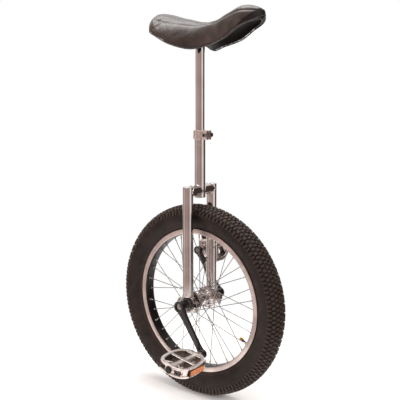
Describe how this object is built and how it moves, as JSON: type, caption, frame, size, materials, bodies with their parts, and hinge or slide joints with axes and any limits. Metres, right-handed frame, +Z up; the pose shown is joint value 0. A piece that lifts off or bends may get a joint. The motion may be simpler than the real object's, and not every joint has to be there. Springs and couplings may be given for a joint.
{
  "type": "unicycle",
  "caption": "Unicycle with a chromed fork frame, knobbly tyre on a spoked wheel, offset cranks with platform pedals and a curved padded saddle on a sliding seatpost.",
  "frame": {"origin": "on the ground at the middle of the tyre's contact face, under the axle", "axes": "+Z up, X along the axle with the rider's right side at -X, front (saddle nose) at -Y"},
  "size_m": [0.458, 0.532, 1.0387],
  "materials": {
    "chrome": "mirror bright chrome plate",
    "steel": "zinc plated",
    "polished_alloy": "polished cast alloy",
    "spokes": "drawn stainless wire",
    "rim": "black anodised with machined side walls",
    "tyre": "matt knobbly rubber",
    "rubber": "matt",
    "brass": "satin",
    "crank_paint": "gloss black",
    "saddle_vinyl": "semi-gloss grained vinyl",
    "reflector": "amber prismatic",
    "black_plastic": "moulded"
  },
  "bodies": {
    "frame": {"seat_tube": "chrome", "seat_clamp": "polished_alloy", "seat_clamp_bolt": "steel", "seat_clamp_nut": "steel", "right_crown_tube": "chrome", "right_fork_leg": "chrome", "right_leg_cap": "chrome", "right_bearing_holder": "chrome", "right_bearing_cap": "chrome", "right_front_bearing_bolt": "steel", "right_rear_bearing_bolt": "steel", "right_bearing_outer_ring": "steel", "left_crown_tube": "chrome", "left_fork_leg": "chrome", "left_leg_cap": "chrome", "left_bearing_holder": "chrome", "left_bearing_cap": "chrome", "left_front_bearing_bolt": "steel", "left_rear_bearing_bolt": "steel", "left_bearing_outer_ring": "steel"},
    "wheel": {"hub_shell": "polished_alloy", "axle": "steel", "rim": "rim", "rim_strip": "rubber", "inner_tube": "rubber", "valve_stem": "rubber", "valve_cap": "brass", "tyre": "tyre", "right_bearing_inner_ring": "steel", "right_spokes": "spokes", "right_crank": "crank_paint", "right_crank_bolt": "steel", "right_pedal_spindle": "steel", "left_bearing_inner_ring": "steel", "left_spokes": "spokes", "left_crank": "crank_paint", "left_crank_bolt": "steel", "left_pedal_spindle": "steel"},
    "seat": {"seatpost": "chrome", "saddle_bracket": "chrome", "saddle_base": "black_plastic", "saddle_cover": "saddle_vinyl", "front_bumper": "black_plastic", "rear_bumper": "black_plastic", "right_front_saddle_bolt": "steel", "right_rear_saddle_bolt": "steel", "left_front_saddle_bolt": "steel", "left_rear_saddle_bolt": "steel"},
    "right_pedal_body": {"right_pedal": "polished_alloy", "right_pedal_cap": "black_plastic", "right_pedal_front_reflector": "reflector", "right_pedal_rear_reflector": "reflector"},
    "left_pedal_body": {"left_pedal": "polished_alloy", "left_pedal_cap": "black_plastic", "left_pedal_front_reflector": "reflector", "left_pedal_rear_reflector": "reflector"}
  },
  "joints": [
    {"name": "wheel_spin", "type": "hinge", "parent": "frame", "child": "wheel", "pos_m": [0, 0, 0.266], "axis": [1, 0, 0], "continuous": true},
    {"name": "right_pedal_spin", "type": "hinge", "parent": "wheel", "child": "right_pedal_body", "pos_m": [0, -0.07851, 0.15471], "axis": [1, 0, 0], "continuous": true},
    {"name": "left_pedal_spin", "type": "hinge", "parent": "wheel", "child": "left_pedal_body", "pos_m": [0, 0.07851, 0.37729], "axis": [1, 0, 0], "continuous": true},
    {"name": "seat_height", "type": "slide", "parent": "frame", "child": "seat", "axis": [0, 0, 1], "range_m": [-0.08, 0.04]}
  ]
}
